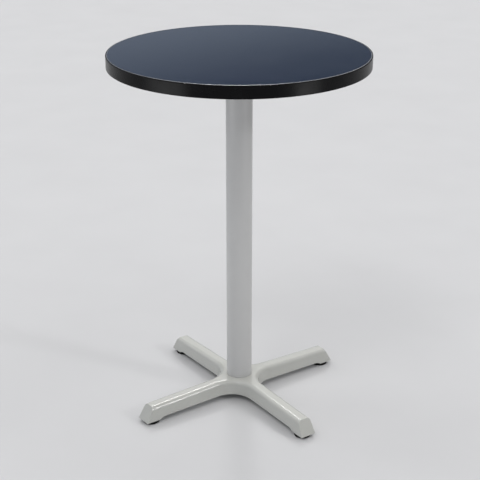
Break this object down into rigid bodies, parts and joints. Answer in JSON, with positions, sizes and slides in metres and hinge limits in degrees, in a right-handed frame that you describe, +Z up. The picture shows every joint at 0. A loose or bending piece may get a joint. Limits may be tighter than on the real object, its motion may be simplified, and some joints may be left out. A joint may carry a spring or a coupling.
{
  "type": "pub table",
  "caption": "Bar-height pedestal table: round dark laminate top with a black edge band, round steel column and a cross-shaped cast base on screw-out levelling glides.",
  "frame": {"origin": "on the floor under the column's axis", "axes": "+Z up along the column; the arms of the base lie along X and Y"},
  "size_m": [0.74, 0.74, 1.067],
  "materials": {
    "core_board": "raw particle board",
    "top_laminate": "satin laminate, dark blue-grey",
    "backer_sheet": "brown backer sheet",
    "edge_band": "satin black vinyl",
    "spider_iron": "black coated casting",
    "grey_paint_tube": "satin grey powder coat",
    "grey_paint_casting": "semi-gloss light grey powder coat",
    "bright_steel": "zinc plated",
    "glide_plastic": "black moulded nylon"
  },
  "bodies": {
    "table": {"top_core": "core_board", "top_laminate": "top_laminate", "backer_sheet": "backer_sheet", "edge_band": "edge_band", "top_screws": "bright_steel", "top_spider": "spider_iron", "column_tube": "grey_paint_tube", "tie_rod": "bright_steel", "upper_washer": "bright_steel", "upper_nut": "bright_steel", "lower_washer": "bright_steel", "lower_nut": "bright_steel", "base_casting": "grey_paint_casting"},
    "right_glide_pad": {"right_glide_pad": "glide_plastic"},
    "right_glide_stud": {"right_glide_stud": "bright_steel"},
    "back_glide_pad": {"back_glide_pad": "glide_plastic"},
    "back_glide_stud": {"back_glide_stud": "bright_steel"},
    "left_glide_pad": {"left_glide_pad": "glide_plastic"},
    "left_glide_stud": {"left_glide_stud": "bright_steel"},
    "front_glide_pad": {"front_glide_pad": "glide_plastic"},
    "front_glide_stud": {"front_glide_stud": "bright_steel"}
  },
  "joints": [
    {"name": "right_glide_travel", "type": "slide", "parent": "table", "child": "right_glide_pad", "axis": [0, 0, -1], "range_m": [0, 0.0127]},
    {"name": "right_glide_turn", "type": "hinge", "parent": "right_glide_pad", "child": "right_glide_stud", "pos_m": [0.3185, 0, 0], "axis": [0, 0, -1], "range_deg": [0, 2880]},
    {"name": "back_glide_travel", "type": "slide", "parent": "table", "child": "back_glide_pad", "axis": [0, 0, -1], "range_m": [0, 0.0127]},
    {"name": "back_glide_turn", "type": "hinge", "parent": "back_glide_pad", "child": "back_glide_stud", "pos_m": [0, 0.3185, 0], "axis": [0, 0, -1], "range_deg": [0, 2880]},
    {"name": "left_glide_travel", "type": "slide", "parent": "table", "child": "left_glide_pad", "axis": [0, 0, -1], "range_m": [0, 0.0127]},
    {"name": "left_glide_turn", "type": "hinge", "parent": "left_glide_pad", "child": "left_glide_stud", "pos_m": [-0.3185, 0, 0], "axis": [0, 0, -1], "range_deg": [0, 2880]},
    {"name": "front_glide_travel", "type": "slide", "parent": "table", "child": "front_glide_pad", "axis": [0, 0, -1], "range_m": [0, 0.0127]},
    {"name": "front_glide_turn", "type": "hinge", "parent": "front_glide_pad", "child": "front_glide_stud", "pos_m": [0, -0.3185, 0], "axis": [0, 0, -1], "range_deg": [0, 2880]}
  ],
  "couplings": [
    {"joint": "right_glide_turn", "follows": "right_glide_travel", "rad_per_m": 3957.9},
    {"joint": "back_glide_turn", "follows": "back_glide_travel", "rad_per_m": 3957.9},
    {"joint": "left_glide_turn", "follows": "left_glide_travel", "rad_per_m": 3957.9},
    {"joint": "front_glide_turn", "follows": "front_glide_travel", "rad_per_m": 3957.9}
  ]
}
